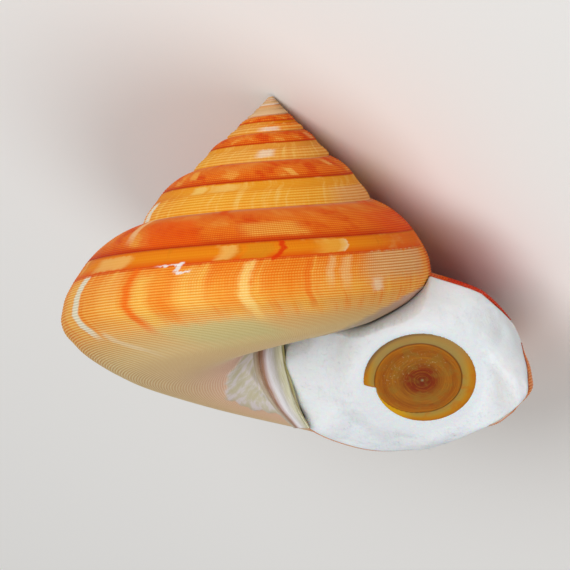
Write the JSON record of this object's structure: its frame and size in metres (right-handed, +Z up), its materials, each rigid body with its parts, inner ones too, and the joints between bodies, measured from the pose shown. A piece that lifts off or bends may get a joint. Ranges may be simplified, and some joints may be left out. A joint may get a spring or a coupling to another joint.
{
  "type": "teramachi slit shell",
  "caption": "Cone-shaped slit shell lying on its back, its mouth packed with cotton wool and its horny lid set on the wool.",
  "frame": {"origin": "middle of the shell's box as it lies, on the surface that it rests on", "axes": "+Z up from the surface; the mouth and its lid look toward -Y and up; +X is the longest extent, and the apex points down toward +X and -Y"},
  "size_m": [0.0906, 0.0806, 0.0601],
  "materials": {
    "shell": "satin",
    "cotton_wool": "matte",
    "operculum": "satin"
  },
  "bodies": {
    "root": {"shell": "shell", "cotton_wool": "cotton_wool", "operculum": "operculum"}
  },
  "joints": []
}
